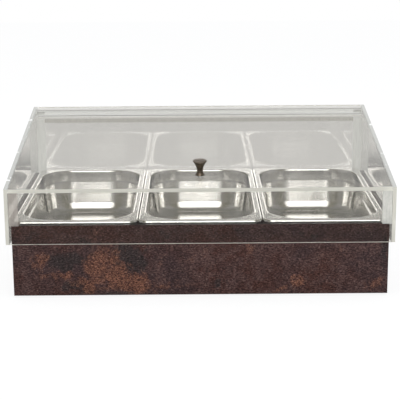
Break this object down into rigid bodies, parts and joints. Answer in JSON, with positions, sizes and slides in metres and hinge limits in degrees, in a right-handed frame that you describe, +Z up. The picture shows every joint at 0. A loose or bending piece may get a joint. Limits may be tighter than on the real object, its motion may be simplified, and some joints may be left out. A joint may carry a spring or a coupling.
{
  "type": "condiment caddy",
  "caption": "Low laminate box that holds hanging steel pans of condiments under a clear hood with a sloping lid that flips up.",
  "frame": {"origin": "centre of the box's footprint, on the surface that it stands on", "axes": "+X to the right along the width, seen from the front; +Y from the front with the knob to the hinged rear; +Z up"},
  "size_m": [0.545, 0.345, 0.2175],
  "materials": {
    "laminate": "compact laminate with a mottled rusted-metal look, dark brown with orange and blue-grey clouds",
    "block_wood": "plain planed hardwood",
    "screw_steel": "bright zinc-plated or stainless steel",
    "foot_rubber": "matt black",
    "pan_steel": "pressed stainless steel, satin with polished bends",
    "clear_acrylic": "clear cast acrylic with polished edges",
    "nylon": "natural white nylon",
    "knob_bronze": "dark bronze, satin"
  },
  "bodies": {
    "base": {"front_board": "laminate", "rear_board": "laminate", "left_board": "laminate", "right_board": "laminate", "floor_panel": "laminate", "front_left_block": "block_wood", "front_right_block": "block_wood", "rear_left_block": "block_wood", "rear_right_block": "block_wood", "block_screws": "screw_steel", "floor_screws": "screw_steel", "front_left_foot": "foot_rubber", "front_right_foot": "foot_rubber", "rear_left_foot": "foot_rubber", "rear_right_foot": "foot_rubber"},
    "left_pan_body": {"left_pan": "pan_steel"},
    "middle_pan_body": {"middle_pan": "pan_steel"},
    "right_pan_body": {"right_pan": "pan_steel"},
    "hood": {"hood_front": "clear_acrylic", "hood_rear": "clear_acrylic", "hood_left_side": "clear_acrylic", "hood_right_side": "clear_acrylic", "front_left_strip": "clear_acrylic", "front_right_strip": "clear_acrylic", "rear_left_strip": "clear_acrylic", "rear_right_strip": "clear_acrylic", "rear_bar": "clear_acrylic"},
    "lid": {"lid_panel": "clear_acrylic", "hinge_rod": "clear_acrylic", "left_hinge_pin": "clear_acrylic", "right_hinge_pin": "clear_acrylic", "left_hinge_washer": "nylon", "right_hinge_washer": "nylon", "knob": "knob_bronze", "knob_washer": "nylon", "knob_screw": "screw_steel"}
  },
  "joints": [
    {"name": "hood_lift", "type": "slide", "parent": "base", "child": "hood", "axis": [0, 0, 1], "range_m": [0, 0.12]},
    {"name": "lid_flip", "type": "hinge", "parent": "hood", "child": "lid", "pos_m": [0, 0.1655, 0.20428], "axis": [-1, 0, 0], "range_deg": [0, 102]},
    {"name": "left_pan_lift", "type": "slide", "parent": "base", "child": "left_pan_body", "axis": [0, 0, 1], "range_m": [0, 0.038]},
    {"name": "middle_pan_lift", "type": "slide", "parent": "base", "child": "middle_pan_body", "axis": [0, 0, 1], "range_m": [0, 0.038]},
    {"name": "right_pan_lift", "type": "slide", "parent": "base", "child": "right_pan_body", "axis": [0, 0, 1], "range_m": [0, 0.038]}
  ]
}
